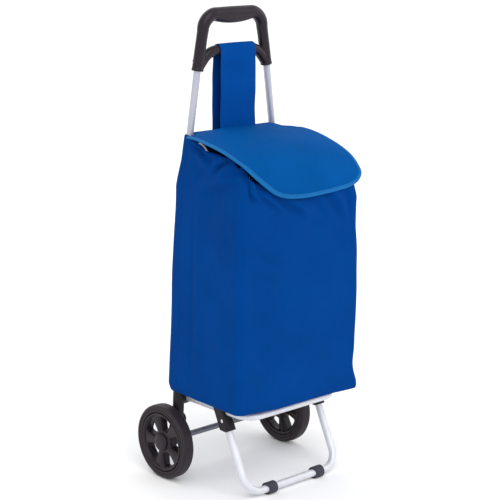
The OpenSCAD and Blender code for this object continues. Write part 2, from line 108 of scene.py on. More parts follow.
def put(name, verts, faces, material, body, slot=None, uv=None, hard=None, sub=0):
    """A mesh object from points in millimetres. uv holds one pair a point, in metres. Edges sharper than
    hard degrees stay crisp, and sub is a number of subdivisions."""
    v = (np.asarray(verts, float) + SHIFT) * MM
    mesh = bpy.data.meshes.new(name)
    mesh.from_pydata(v.tolist(), [], [list(map(int, f)) for f in faces])
    mesh.update()
    mesh.polygons.foreach_set("use_smooth", [True] * len(mesh.polygons))
    if uv is not None:
        layer = mesh.uv_layers.new(name="UVMap")
        loops = np.zeros(len(mesh.loops), int)
        mesh.loops.foreach_get("vertex_index", loops)
        layer.data.foreach_set("uv", np.asarray(uv, float)[loops].ravel())
    if hard:
        mesh.set_sharp_from_angle(angle=math.radians(hard))
    mesh.materials.append(material)
    piece = bpy.data.objects.new(name, mesh)
    link(piece)
    if body:
        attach(piece, body)
    if sub:
        subdivide(piece, sub)
    return piece


def link(thing):
    bpy.context.scene.collection.objects.link(thing)


def subdivide(piece, levels=1):
    mod = piece.modifiers.new("round", "SUBSURF")
    mod.levels = mod.render_levels = levels


def thicken(piece, thickness, offset=0):
    """Gives a sheet its thickness, in millimetres."""
    mod = piece.modifiers.new("cloth", "SOLIDIFY")
    mod.thickness, mod.offset = thickness * MM, offset
    return mod


def melt(piece, voxel, rounds):
    """Joins overlapping parts into one moulding with small soft fillets. voxel is in millimetres."""
    mod = piece.modifiers.new("moulded", "REMESH")
    mod.mode, mod.voxel_size, mod.use_smooth_shade = "VOXEL", voxel * MM, True
    mod = piece.modifiers.new("soft", "SMOOTH")
    mod.factor, mod.iterations = 0.5, rounds


def unit(v):
    return v / np.maximum(np.linalg.norm(v, axis=-1, keepdims=True), 1e-9)


def run_length(p):
    """The distance along a line of points from its first point to each of them."""
    return np.r_[0, np.cumsum(np.linalg.norm(np.diff(p, axis=0), axis=1))]


def at_run(where, run, p):
    """The points of line p at the distances where; run is the line's run_length."""
    return np.stack([np.interp(where, run, p[:, i]) for i in range(3)], -1)


def cloth_uv(across, along):
    """A pair in metres for each point of a sheet, from its distances in millimetres."""
    return np.stack(np.broadcast_arrays(across, along), -1).reshape(-1, 2) * MM


def row_faces(rows, n, wrap=True, closed=False):
    """Faces between rows of n points. wrap joins each row's ends; closed joins the last row to the first."""
    return [[k * n + i, k * n + (i + 1) % n, (k + 1) % rows * n + (i + 1) % n, (k + 1) % rows * n + i]
            for k in range(rows if closed else rows - 1) for i in range(n if wrap else n - 1)]


def caps(rows, n):
    """The two faces that close the first and the last row."""
    return [list(range(n - 1, -1, -1)), [(rows - 1) * n + i for i in range(n)]]


def flipped(faces):
    return [q[::-1] for q in faces]


def path(points, step=4.0, closed=False):
    """A smooth line through points (Catmull-Rom), sampled about every step millimetres."""
    p = np.asarray(points, float)
    ext = np.vstack([p[-1:], p, p[:2]]) if closed else np.vstack([2 * p[0] - p[1], p, 2 * p[-1] - p[-2]])
    out = []
    for i in range(len(ext) - 3):
        a, b, c, d = ext[i:i + 4]
        n = max(2, int(np.linalg.norm(c - b) / step))
        t = (np.arange(n) / n)[:, None]
        out.append(0.5 * ((2 * b) + (c - a) * t + (2 * a - 5 * b + 4 * c - d) * t ** 2
                          + (3 * b - a - 3 * c + d) * t ** 3))
    if not closed:
        out.append(p[-1:])
    return np.vstack(out)


def sweep(line, radius, n=24, closed=False, up=(0, 1, 0)):
    """A round or oval tube along a line. radius is a number or array, or a pair of them (side, up)."""
    p = np.asarray(line, float)
    if closed:
        along = unit(np.roll(p, -1, 0) - np.roll(p, 1, 0))
    else:
        along = unit(np.gradient(p, axis=0))
    side = unit(np.cross(along, np.array(up, float)))
    top = np.cross(side, along)
    ra, rb = radius if isinstance(radius, tuple) else (radius, radius)
    ra, rb = np.broadcast_to(ra, len(p)), np.broadcast_to(rb, len(p))
    a = np.linspace(0, 2 * np.pi, n, endpoint=False)
    v = (p[:, None] + ra[:, None, None] * np.cos(a)[None, :, None] * side[:, None]
         + rb[:, None, None] * np.sin(a)[None, :, None] * top[:, None]).reshape(-1, 3)
    f = row_faces(len(p), n, closed=closed)
    return v, f if closed else f + caps(len(p), n)


def lathe(profile, n, centre, side):
    """A closed (radius, x) profile turned about the X axis through centre. side -1 mirrors it."""
    pr = np.asarray(profile, float)
    a = np.linspace(0, 2 * np.pi, n, endpoint=False)
    v = np.stack([np.broadcast_to(centre[0] + side * pr[:, 1:2], (len(pr), n)),
                  centre[1] + pr[:, :1] * np.cos(a), centre[2] + pr[:, :1] * np.sin(a)], -1).reshape(-1, 3)
    f = row_faces(len(pr), n, closed=True)
    return v, f if side > 0 else flipped(f)


def join(*parts):
    """One mesh from several."""
    v, f, base = [], [], 0
    for pv, pf in parts:
        v.append(np.asarray(pv, float))
        f += [[i + base for i in q] for q in pf]
        base += len(pv)
    return np.vstack(v), f


def grid(p, wrap=False):
    """A mesh over a (rows, columns, 3) array of points."""
    return p.reshape(-1, 3), row_faces(*p.shape[:2], wrap=wrap)


def stitches(line, normal, name, body, pitch=4.2, dash=2.9, lift=0.35, radius=0.32):
    """Short threads along a seam, standing a little out of the cloth. normal is one vector or one a point."""
    p = np.asarray(line, float)
    nrm = np.broadcast_to(np.asarray(normal, float), p.shape)
    run = run_length(p)
    rise, taper = np.array([0.2, 1, 1, 0.2]), np.array([0.6, 1, 1, 0.6])
    parts = []
    for start in np.arange(pitch / 2, run[-1] - dash, pitch):
        where = np.stack([start + dash * k / 3 for k in range(4)])
        out = unit(at_run(where, run, nrm))
        thread_line = at_run(where, run, p) + out * (lift * rise)[:, None]
        parts.append(sweep(thread_line, radius * taper, 6, up=out[1] + (0.01, 0.02, 0.03)))
    return put(name, *join(*parts), M["thread"], body)


def wobble(p, scale, amount, seed=0.0):
    """Smooth irregular heights up to about amount, with waves about scale millimetres long."""
    q = np.asarray(p) / scale + seed
    return amount * np.array([noise.noise(Vector(x)) for x in q.reshape(-1, 3)]).reshape(q.shape[:-1])


# ---------- materials ----------

def material(name, color, rough, metal=0.0, build=None, **sockets):
    """A Principled material; build adds the nodes that give it its detail."""
    m = bpy.data.materials.new(name)
    m.use_nodes = True
    m.diffuse_color = (*color, 1)
    b = m.node_tree.nodes["Principled BSDF"]
    b.inputs["Base Color"].default_value = (*color, 1)
    b.inputs["Roughness"].default_value = rough
    b.inputs["Metallic"].default_value = metal
    for k, v in sockets.items():
        b.inputs[k.replace("_", " ")].default_value = v
    if build:
        build(Nodes(m.node_tree), b, color, rough)
    return m


class Nodes:
    """Short calls for the nodes that the materials below share."""

    def __init__(self, tree):
        self.tree = tree
        self.coords = tree.nodes.new("ShaderNodeTexCoord")

    def node(self, kind, link=(), **settings):
        n = self.tree.nodes.new("ShaderNode" + kind)
        for k, v in settings.items():
            if hasattr(n, k):
                setattr(n, k, v)
            else:
                n.inputs[k.replace("_", " ")].default_value = v
        for socket, source in dict(link).items():
            self.tree.links.new(source, n.inputs[socket])
        return n

    def at(self, space="Object", scale=(1, 1, 1)):
        return self.node("Mapping", {"Vector": self.coords.outputs[space]}, Scale=scale).outputs[0]

    def noise(self, scale, detail=3.0, space="Object", stretch=(1, 1, 1), rough=0.5):
        n = self.node("TexNoise", {"Vector": self.at(space, stretch)})
        n.inputs["Scale"].default_value = scale
        n.inputs["Detail"].default_value = detail
        n.inputs["Roughness"].default_value = rough
        return n.outputs["Fac"]

    def wave(self, scale, direction, space="UV"):
        n = self.node("TexWave", {"Vector": self.at(space)}, wave_type="BANDS", bands_direction=direction)
        n.inputs["Scale"].default_value = scale
        n.inputs["Distortion"].default_value = 0.4
        n.inputs["Detail"].default_value = 1.0
        return n.outputs["Fac"]

    def math(self, op, a, b):
        n = self.node("Math", operation=op)
        for i, x in enumerate((a, b)):
            if isinstance(x, (int, float)):
                n.inputs[i].default_value = x
            else:
                self.tree.links.new(x, n.inputs[i])
        return n.outputs[0]

    def span(self, value, low, high, from_low=0.0, from_high=1.0):
        n = self.node("MapRange", {"Value": value})
        for k, x in (("From Min", from_low), ("From Max", from_high), ("To Min", low), ("To Max", high)):
            n.inputs[k].default_value = x
        return n.outputs[0]

    def tint(self, value, colors):
        """A ramp from colour to colour: [(position, colour), ...]."""
        n = self.node("ValToRGB", {"Fac": value})
        e = n.color_ramp.elements
        while len(e) < len(colors):
            e.new(0.5)
        for x, (at, c) in zip(e, colors):
            x.position, x.color = at, (*c, 1)
        return n.outputs[0]

    def bump(self, layers, shader):
        """Adds bump layers (height, strength, distance in metres) one on another."""
        last = None
        for height, strength, distance in layers:
            n = self.node("Bump", {"Height": height}, Strength=strength, Distance=distance)
            if last:
                self.tree.links.new(last, n.inputs["Normal"])
            last = n.outputs[0]
        self.tree.links.new(last, shader.inputs["Normal"])

    def to(self, value, shader, socket):
        self.tree.links.new(value, shader.inputs[socket])


def shade(c, k):
    return tuple(min(1.0, x * k) for x in c)


def cloth(thread=0.75):
    """Coated woven polyester: a fine plain weave, faint slubs, and soft blotches in colour and gloss. The
    weave repeats about every two times thread, in millimetres."""
    bands = 1 / (thread * 0.00628)

    def build(n, b, color, rough):
        weave = n.math("MULTIPLY", n.wave(bands, "X"), n.wave(bands, "Y"))
        blot, fine = n.noise(9, 4), n.noise(700, 2, "UV", (1, 0.06, 1))
        mixed = n.math("ADD", n.math("MULTIPLY", blot, 0.7), n.math("MULTIPLY", fine, 0.3))
        tones = [(0.3, shade(color, 0.86)), (0.55, color), (0.75, shade(color, 1.1))]
        n.to(n.tint(mixed, tones), b, "Base Color")
        n.to(n.span(n.noise(22, 5), rough - 0.06, rough + 0.08), b, "Roughness")
        n.bump([(n.noise(38, 4), 0.16, 0.0012), (weave, 0.28, 0.00022), (fine, 0.12, 0.0002)], b)
    return build


def plastic(grain=900, worn=0.25):
    """Moulded plastic: fine grain, faint flow marks, and smoother rubbed patches."""
    def build(n, b, color, rough):
        wear = n.noise(26, 6, rough=0.62)
        tones = [(0.35, shade(color, 0.82)), (0.6, color), (0.8, shade(color, 1.35))]
        n.to(n.tint(wear, tones), b, "Base Color")
        n.to(n.span(wear, rough + 0.08, rough - 0.1, 0.3, 0.75), b, "Roughness")
        n.bump([(n.noise(140, 3), worn * 0.4, 0.0005), (n.noise(grain, 2), 0.22, 0.0002)], b)
    return build


def paint(n, b, color, rough):
    """Silver paint on tube: fine flake, slight orange peel and a few faint scuffs."""
    flake = n.noise(2600, 1)
    scuff = n.noise(60, 6, stretch=(1, 1, 0.12), rough=0.7)
    tone = n.math("ADD", n.math("MULTIPLY", flake, 0.35), n.math("MULTIPLY", scuff, 0.65))
    tones = [(0.3, shade(color, 0.86)), (0.52, color), (0.75, shade(color, 1.08))]
    n.to(n.tint(tone, tones), b, "Base Color")
    n.to(n.span(scuff, rough - 0.05, rough + 0.12), b, "Roughness")
    n.bump([(n.noise(420, 2), 0.08, 0.0004), (flake, 0.05, 0.0001)], b)


def metal(n, b, color, rough):
    """Zinc-plated steel: drawn lines and mottled gloss."""
    drawn = n.noise(900, 3, stretch=(0.05, 1, 1))
    spots = n.noise(180, 4)
    tones = [(0.3, shade(color, 0.75)), (0.6, color), (0.8, shade(color, 1.15))]
    n.to(n.tint(spots, tones), b, "Base Color")
    n.to(n.span(spots, rough - 0.08, rough + 0.12), b, "Roughness")
    n.bump([(drawn, 0.2, 0.0002), (spots, 0.1, 0.0003)], b)


def rubber(n, b, color, rough):
    """Tyre and foot rubber: matt, dusty on the high spots."""
    dust = n.noise(45, 6, rough=0.65)
    tones = [(0.35, shade(color, 0.75)), (0.6, color), (0.82, shade(color, 1.6))]
    n.to(n.tint(dust, tones), b, "Base Color")
    n.to(n.span(dust, rough - 0.05, rough + 0.12), b, "Roughness")
    n.bump([(n.noise(300, 4), 0.25, 0.0004), (n.noise(1600, 2), 0.2, 0.0001)], b)


def braid(n, b, color, rough):
    """Braided cord and thread: slanting strands, with painted shade darkening the gaps between them."""
    strands = n.wave(170, "DIAGONAL", "Object")
    # the bands darken where the bump sinks between strands: painted shade
    n.to(n.tint(strands, [(0.2, shade(color, 0.6)), (0.7, color)]), b, "Base Color")
    n.bump([(strands, 0.6, 0.0006), (n.noise(2000, 2), 0.2, 0.0002)], b)


BLUE = (0.0003, 0.0710, 0.3600)
WOVEN = {"rough": 0.70, "build": cloth(), "Specular_IOR_Level": 0.02}
M = {
    "bag": material("bag_cloth", BLUE, **WOVEN),
    # the bag's inner face: the same cloth darkened to 0.62, painted shade for the inside of the bag
    "inside": material("bag_inside_shade", shade(BLUE, 0.62), 0.75, build=cloth(), Specular_IOR_Level=0.02),
    "flap": material("flap_cloth", (0.0002, 0.0720, 0.2800), **WOVEN),
    "strap": material("strap_cloth", (0.0002, 0.0560, 0.2750), **WOVEN),
    "piping": material("piping_tape", (0.004, 0.128, 0.372), 0.6, build=cloth(0.5), Specular_IOR_Level=0.08),
    "thread": material("sewing_thread", (0.002, 0.075, 0.330), 0.6, build=braid),
    "cord": material("drawcord", (0.50, 0.46, 0.52), 0.7, build=braid),
    "paint": material("silver_paint", (0.47, 0.48, 0.555), 0.34, 0.5, build=paint),
    "bright": material("silver_paint_leg", (0.66, 0.675, 0.72), 0.36, 0.35, build=paint),
    "steel": material("plated_steel", (0.20, 0.21, 0.24), 0.48, 0.8, build=metal),
    "zinc": material("plated_pins", (0.80, 0.80, 0.82), 0.32, 0.75, build=metal),
    "board": material("base_board", (0.020, 0.019, 0.022), 0.6, build=plastic(500)),
}
for key, name, color, rough, gloss, build in (
        ("grip", "handle_plastic", (0.0125, 0.0075, 0.0140), 0.30, 0.28, plastic(1200)),
        ("black", "black_plastic", (0.0110, 0.0080, 0.0110), 0.40, 0.25, plastic()),
        ("hub", "hub_plastic", (0.0150, 0.0100, 0.0150), 0.42, 0.28, plastic()),
        ("tyre", "tyre_rubber", (0.0230, 0.0160, 0.0220), 0.50, 0.25, rubber),
        ("foot", "foot_rubber", (0.034, 0.036, 0.052), 0.60, 0.35, rubber)):
    M[key] = material(name, color, rough, build=build, Specular_IOR_Level=gloss)


# ---------- carried-over CAD nodes ----------

def dress(node, mat, bevel=0.0, angle=35, voxel=0.0, rounds=3):
    """Gives a CAD node its material, and rounds its edges with modifiers only: a bevel on edges sharper than
    angle degrees, or a fine remesh. bevel and voxel are in millimetres."""
    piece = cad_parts[node]
    piece.data.materials.clear()
    piece.data.materials.append(mat)
    weld = piece.modifiers.new("weld", "WELD")
    weld.merge_threshold = 2e-6
    piece.data.polygons.foreach_set("use_smooth", [True] * len(piece.data.polygons))
    if voxel:
        melt(piece, voxel, rounds)
        return
    flat = piece.modifiers.new("flat", "DECIMATE")
    flat.decimate_type, flat.angle_limit = "DISSOLVE", math.radians(2)
    edge = piece.modifiers.new("bevel", "BEVEL")
    edge.width, edge.segments, edge.limit_method = bevel * MM, 3, "ANGLE"
    edge.angle_limit = math.radians(angle)
    edge.use_clamp_overlap = True
    piece.data.set_sharp_from_angle(angle=math.radians(40))


for _, side in SIDES:
    dress("rear_bracket_" + side, M["black"], voxel=0.75, rounds=4)
    dress("leg_clamp_" + side, M["black"], voxel=0.5)
for name in ("handle_rivets", "bracket_screws", "clamp_rivets", "axle_washers", "axle_push_nuts",
             "platform_hinge_pins"):
    dress(name, M["zinc"], bevel=0.25)
dress("leg_pivot_pins", M["zinc"], bevel=0.6)
dress("axle", M["steel"], bevel=0.8)
for name in ("platform_rod", "leg_tube"):
    dress(name, M["bright"], bevel=0.3, angle=50)


# ---------- frame tubes ----------

for s, side in SIDES:
    z = np.r_[100:580:12j, 580:620:14j, 620:842:8j]
    x, y = tube_axis(z)
    tube = put("tube_" + side, *sweep(np.stack([s * x, y, z], -1), TUBE_RADIUS, 32), M["paint"], "frame",
               "painted_tube", hard=50)
    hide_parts("frame_tube_" + side)


# ---------- handle ----------

def in_plane(xz):
    """(x, z) pairs placed on the frame tubes' leaning plane."""
    return [(x, lean_y(z), z) for x, z in xz]


def handle_mesh():
    """Half of the loop and of the crossbar's arch are listed, from the socket to the middle, and mirrored."""
    leg = [(88.6, 807), (88.0, 812), (85.8, 824), (82.6, 843), (79.2, 862), (75.9, 880)]
    corner = [(43.2 + 32.9 * math.cos(a), 879.2 + 33.2 * math.sin(a))
              for a in np.radians([18, 34, 50, 66, 80])]
    half = leg + corner + [(38, 912.0), (20, 912.0)]
    line = path(in_plane(half + [(0, 912.0)] + [(-x, z) for x, z in half[::-1]]), 2.0)
    top = smooth((line[:, 2] - 868) / 42)
    belly = np.exp(-(line[:, 0] / 30) ** 2) * (line[:, 2] > 900)
    loop = sweep(line, 10.9 + 1.6 * top + 0.4 * belly, 36)
    # the grip's lower side, which hangs lowest in the middle
    reach = 46
    xs = np.linspace(-reach, reach, 25)
    hang = 1 - (xs / reach) ** 2
    lower = np.stack([xs, 0 * xs + lean_y(906), 907.0 - 3.0 * hang], -1)
    grip = sweep(lower, (9.0 + 2.4 * hang, 10.2), 30)
    arch = [(84, 815), (79, 821), (71.5, 829.5), (64, 835.7), (55, 840.2), (46, 842.2), (36, BAR_Z),
            (0, BAR_Z)]
    bar = sweep(path(in_plane(arch + [(-x, z) for x, z in arch[-2::-1]]), 2.0), 10.2, 32)
    # small webs where the crossbar meets the legs, and collars round the sockets' mouths
    webs = [sweep(path(in_plane([(s * 85, 815), (s * 81, 829), (s * 78, 842)]), 3), 7.4, 20)
            for s, _ in SIDES]
    collars = [sweep(in_plane([(s * 88.7, 806.2), (s * 88.2, 809.4), (s * 87.5, 812.4)]),
                     np.array([11.5, 11.8, 11.0]), 36) for s, _ in SIDES]
    return join(loop, grip, bar, *webs, *collars)


handle = put("handle_grip", *handle_mesh(), M["grip"], "frame", "grip_plastic")
melt(handle, 0.9, 6)
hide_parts("handle")


# ---------- wheels ----------

# (radius, x) outlines; x is measured outwards from the wheel's middle plane
TYRE_CROWN = [(WHEEL_RADIUS - 0.5 * (h / 9.0) ** 2 - 0.9 * max(0, abs(h) - 9) ** 1.6 / 3, h)
              for h in np.linspace(-11.4, 11.4, 23)]
TYRE_WALL = [(72.6, 12.1), (70.8, 12.6), (69.0, 12.7), (67.6, 12.3), (66.8, 10.9), (65.8, 10.7), (65.0, 11.9),
             (63.6, 12.6), (61.8, 12.5), (60.7, 11.6), (60.3, 9.4), (60.1, 7.6)]
RIM_BARREL = [(60.1, -9.0), (58.9, -9.4), (58.6, -11.3), (56.2, -11.9), (54.6, -10.9), (53.4, -8.5),
              (52.6, 0), (52.6, 5.5), (53.1, 9.2), (54.2, 11.6), (55.6, 12.5), (57.4, 12.5), (58.5, 11.6),
              (58.9, 9.4), (59.0, 7.4), (60.1, 7.2)]
BOSS = [(6.1, -12.8), (9.5, -12.8), (11, -11.5), (12, -4), (13.5, 3), (17.0, 6), (18.2, 9.5), (18.2, 11.6),
        (17.6, 13.6), (16.0, 15.2), (13.0, 16.3), (8.0, 16.9), (0.2, 17.0), (0.2, 14), (6.1, 13)]
LOOP = 72           # points round a window
BACK_FACE = -9.0    # x of the spokes' back


def window_loop(inner, outer, half, rounds):
    """A four-sided loop in the wheel's plane, between two radii and half radians to each side of its middle,
    with its corners softened by so many rounds of smoothing."""
    corners = [(inner, -half), (outer, -half), (outer, half), (inner, half)]
    points = []
    for j in range(4):
        (ra, ta), (rb, tb) = corners[j], corners[(j + 1) % 4]
        for q in range(LOOP // 4):
            u = q / (LOOP // 4)
            points.append((ra + (rb - ra) * u, ta + (tb - ta) * u))
    points = np.array(points)
    xy = np.stack([points[:, 0] * np.cos(points[:, 1]), points[:, 0] * np.sin(points[:, 1])], -1)
    for _ in range(rounds):
        xy = 0.5 * xy + 0.25 * (np.roll(xy, 1, 0) + np.roll(xy, -1, 0))
    return xy


def wheel(side, s, first_window):
    """A tyre and a spoked hub. first_window is the angle in degrees of one window's middle."""
    centre = (s * WHEEL_X, 0, WHEEL_RADIUS)
    tread = [(radius, -h) for radius, h in TYRE_WALL[::-1]] + TYRE_CROWN + TYRE_WALL
    tyre = put("tyre_tread_" + side, *lathe(tread, 144, centre, s), M["tyre"], "wheel_" + side, "tyre")
    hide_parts("tyre_" + side)
    parts = [lathe(RIM_BARREL, 128, centre, s), lathe(BOSS, 72, centre, s)]
    # spokes: the skin round each window swells like a pillow and turns into the window's wall
    share = math.radians(360 / WINDOWS / 2)
    window = window_loop(24.5, 51.0, math.radians(20.5) * 0.96, 7)
    spread = window_loop(15.5, 53.6, share, 0) - window
    rows, back_rows = 9, 4
    layers = [(window, BACK_FACE), (window, 2.5)]
    for u in [q / rows for q in range(rows + 1)]:
        swell = math.sqrt(max(0, 1 - (1 - min(1, u * 1.5)) ** 2))
        layers.append((window + spread * u, 4.2 + 4.6 * swell + 0.6 * u))
    for q in range(back_rows, -1, -1):
        layers.append((window + spread * q / back_rows, BACK_FACE + 3.0 * math.sin(math.pi * q / back_rows)))
    faces = row_faces(len(layers), LOOP)
    for k in range(WINDOWS):
        middle = math.radians(first_window + 360 // WINDOWS * k)
        ca, sa = math.cos(middle), math.sin(middle)
        rings = [np.stack([np.full(LOOP, centre[0] + s * h), xy[:, 0] * ca - xy[:, 1] * sa,
                           centre[2] + (xy[:, 0] * sa + xy[:, 1] * ca)], -1) for xy, h in layers]
        parts.append((np.vstack(rings), faces if s < 0 else flipped(faces)))
        # rib behind each spoke
        a = middle + share
        rib = [(centre[0] - s * 8.0, radius * math.cos(a), WHEEL_RADIUS + radius * math.sin(a))
               for radius in (14, 30, 53)]
        parts.append(sweep(path(rib, 4), (1.7, 3.4), 12, up=(1, 0, 0)))
    hub = put("hub_spokes_" + side, *join(*parts), M["hub"], "wheel_" + side, "wheel_plastic", hard=48)
    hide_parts("wheel_hub_" + side, "hub_cap_" + side)


wheel("left", -1, 31)
wheel("right", 1, 2)


# ---------- feet ----------

SLEEVE = [(7.6, -11.4), (9.5, -11.9), (11.4, -11.6), (12.0, -10.4), (12.0, -9), (11.75, -8.2), (11.9, -7.4),
          (12.0, 7.4), (11.75, 8.2), (12.0, 9), (12.0, 10.4), (11.4, 11.6), (9.5, 11.9), (7.6, 11.4)]
SLEEVE_X, SLEEVE_Y, SLEEVE_Z = 63, -203, 11.2
for s, side in SIDES:
    v, f = lathe(SLEEVE, 64, (s * SLEEVE_X, SLEEVE_Y, SLEEVE_Z), 1)
    v[:, 2] = np.maximum(v[:, 2], 0.0)
    # the mouth by which the sleeve is pushed on: its left end is scooped in front
    scoop = np.clip((SLEEVE_Y - v[:, 1]) / 12, 0, 1) ** 1.5
    v[:, 0] += 6.5 * scoop * np.clip((s * SLEEVE_X - v[:, 0]) / 11.5, 0, 1)
    foot = put("foot_sleeve_" + side, v, f, M["foot"], "leg", "foot_rubber", hard=55)
    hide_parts("foot_" + side)


# ---------- bag ----------

FOLD_Y = -32.0                      # the bag is cut here into the cloth in front and the cloth round the tubes
BOTTOM_Z, MOUTH_Z = 174, 640        # heights of the bag's bottom edge and of its mouth before the hem
BAG_MIDDLE = np.array([0, -108.0])
# numbers of points: the back, a corner, the side behind FOLD_Y, the side in front of it, and the front
BACK_N, CORNER_N, REAR_N, SIDE_N, FRONT_N = 18, 12, 5, 56, 60
FOLD_AT = BACK_N + CORNER_N - 1 + REAR_N        # the section's point that lies at FOLD_Y on the right side
Z_KEY = [BOTTOM_Z, 190, 300, 450, 560, 595, 630, 690]


def bag_numbers(z):
    """Half width, front and corner radii of the bag at height z."""
    half = np.interp(z, Z_KEY, [156, 158.5, 156, 155.5, 153.5, 147, 136, 122])
    front = np.interp(z, Z_KEY, [-215, -217, -219, -220, -218.5, -214, -205, -188])
    rf = np.interp(z, Z_KEY, [13, 14, 15, 16, 18, 20, 20, 18])
    rb = np.interp(z, [BOTTOM_Z, 190, 324, 424, 557, 590, 640, 690], [15, 19, 17.7, 18, 15, 15, 10, 9])
    return half, front, rf, rb


def bag_section(z):
    """Closed loop of points at height z, from the middle of the back over the right side: the cloth runs
    round both tubes and both front corners."""
    half, front, rf, rb = bag_numbers(z)
    tx, ty = tube_axis(z)
    circles = [(tx, ty, rb, 90, 0), (half - rf, front + rf, rf, 0, -90)]
    right = [(0.0, ty + rb)]
    for k, (cx, cy, radius, a0, a1) in enumerate(circles):
        a = np.radians(np.linspace(a0, a1, CORNER_N))
        arc = np.stack([cx + radius * np.cos(a), cy + radius * np.sin(a)], -1)
        start, stop = np.array(right[-1]), arc[0]
        stops = [(stop, BACK_N)]
        if k == 1:
            fold = start + (stop - start) * (FOLD_Y - start[1]) / (stop[1] - start[1])
            stops = [(fold, REAR_N), (stop, SIDE_N)]
        for place, count in stops:
            right += [tuple(start + (place - start) * q / count) for q in range(1, count + 1)]
            start = place
        right += [tuple(p) for p in arc[1:]]
    start, stop = np.array(right[-1]), np.array([0.0, front])
    for q in range(1, FRONT_N + 1):
        right.append(tuple(start + (stop - start) * q / FRONT_N))
    right = np.array(right)
    left = right[1:-1][::-1] * (-1, 1)
    return np.vstack([right, left])


# height of the mouth's hem round the bag: (x, y, z), from the middle of the back over the right side
RIM = [(0, -9, 686), (100, -9, 686), (126, -20, 684), (130, -60, 666), (136, -100, 656), (140, -138, 644),
       (143, -180, 628), (141, -200, 612), (110, -206, 608), (60, -206, 616), (0, -206, 620),
       (-60, -206, 616), (-90, -206, 614), (-108, -206, 618), (-119, -206, 624), (-125, -206, 640),
       (-133, -203, 649), (-136, -192, 643), (-137, -182, 655), (-136, -162, 659), (-135, -135, 661),
       (-132, -112, 661), (-131, -92, 663), (-130, -72, 668), (-128, -50, 678), (-126, -20, 684),
       (-100, -9, 686)]


def creases():
    """(start, end, width, depth) of the soft folds, in bag coordinates. Positive depth stands out."""
    out = [((-158, -183, 508), (-60, -219, 452), 11, -2.6), ((-158, -176, 492), (-66, -219, 438), 12, 2.2),
           ((-158, -160, 332), (-98, -219, 270), 11, -2.4), ((-158, -150, 316), (-104, -219, 256), 12, 2.0),
           ((-155, -120, 410), (-156, -190, 386), 12, -1.2), ((40, -219, 300), (120, -219, 270), 20, -1.4),
           ((70, -219, 470), (150, -219, 500), 16, -1.6), ((20, -219, 380), (90, -219, 420), 26, 1.4)]
    # the sleeve's seam shows through each side as a soft upright line
    for s, _ in SIDES:
        out += [((s * 150, -72, 190), (s * 142, -74, 590), 7, -1.6),
                ((s * 150, -86, 190), (s * 142, -88, 590), 10, 1.0)]
    # folds that the gathered mouth throws on the left side: two sharp tucks and a long soft ridge
    out += [((-132, -46, 670), (-136, -112, 646), 5.0, -5.5), ((-134, -56, 656), (-138, -120, 632), 9, 3.0),
            ((-134, -168, 661), (-138, -118, 630), 4.0, -6.5), ((-136, -183, 655), (-141, -136, 622), 7, 4.5),
            ((-134, -152, 662), (-136, -112, 645), 7, 3.0),
            ((-143, -206, 632), (-146, -102, 603), 8, 3.6), ((-143, -202, 616), (-148, -108, 590), 9, -3.4),
            ((-140, -100, 630), (-148, -52, 590), 9, -2.4), ((-146, -170, 598), (-152, -124, 556), 10, -2.2)]
    # tucks on the front, under the flap's hem
    for x, z, dx, dz, width, depth in [
            (-137, 622, 18, -36, 5, -5.5), (-128, 606, 34, -26, 6, 4.0), (-124, 634, 10, -30, 6, 4.5),
            (-108, 596, 46, -32, 6, -4.0), (-92, 592, 44, -30, 7, 3.4), (-52, 580, 56, -38, 7, -3.6),
            (-28, 582, 48, -36, 9, 2.8), (20, 590, 40, -52, 9, -2.8), (62, 590, 44, -66, 8, -3.4),
            (84, 590, 36, -60, 9, 2.8), (118, 600, 12, -70, 8, -3.0)]:
        out.append(((x, -217, z), (x + dx, -220, z + dz), width, depth))
    # the right side's gathers
    for y, dy, z, width, depth in [
            (-50, -8, 668, 8, -4.0), (-78, -10, 656, 8, 3.6), (-108, -12, 646, 7, -4.6),
            (-138, -10, 630, 8, 3.6), (-168, -6, 618, 7, -4.0)]:
        out.append(((132, y, z), (150, y + dy, 556), width, depth))
    return out


FOLD_DEPTH = 1.5        # scales every crease
FAR, FAR_GAP = 32, 9    # a crease fades on cloth that lies far from it, as if this much further along
# (centre, width, height) of the hem's puffs
PUFFS = [((-136, -150, 650), 11, 3.0), ((-140, -204, 632), 11, 4.5), ((-128, -214, 618), 8, 3.5),
         ((-136, -92, 650), 11, 2.0), ((-96, -216, 600), 11, 2.5)]


def bag_rows(t):
    """The bag's smooth outer surface: a row of points for each share t of its height."""
    heights = np.arange(170.0, 706, 4)
    stack = np.stack([bag_section(z) for z in heights])
    columns = stack.shape[1]
    keys = np.array(RIM, float)
    top = bag_section(MOUTH_Z)
    at = [int(np.argmin(np.hypot(*(top - k[:2]).T))) for k in keys]
    order = np.argsort(at)
    rim = np.interp(np.arange(columns), np.array(at)[order], keys[order, 2], period=columns)
    for _ in range(2):
        rim = 0.5 * rim + 0.25 * (np.roll(rim, 1) + np.roll(rim, -1))
    level = BOTTOM_Z + (MOUTH_Z - BOTTOM_Z) * t
    z = level[:, None] + smooth((t - 0.72) / 0.28)[:, None] * (rim - MOUTH_Z)[None]
    p = np.zeros((len(t), columns, 3))
    for i in range(columns):
        for axis in (0, 1):
            p[:, i, axis] = np.interp(z[:, i], heights, stack[:, i, axis])
    p[..., 2] = z
    # the bottom edge is drawn up a little along the left side, and the right side is a little fuller
    drawn = 8.5 * np.exp(-(p[..., 2] - BOTTOM_Z) / 24)
    p[..., 2] += drawn * smooth((-p[..., 0] - 48) / 96) * smooth((-p[..., 1] + 60) / 50)
    right = smooth((p[..., 0] - 60) / 90) * smooth((-60 - p[..., 1]) / 90)
    z = p[..., 2]
    fuller = (3.5 + 3.0 * smooth((z - 540) / 60) - 6.5 * np.exp(-((z - 222) / 26) ** 2)
              - 2.5 * np.exp(-((z - 290) / 45) ** 2) + 7 * np.exp(-((z - BOTTOM_Z) / 16) ** 2))
    p[..., 0] += fuller * right
    p[..., 2] -= 4.0 * right * np.exp(-(z - BOTTOM_Z) / 12)
    return p


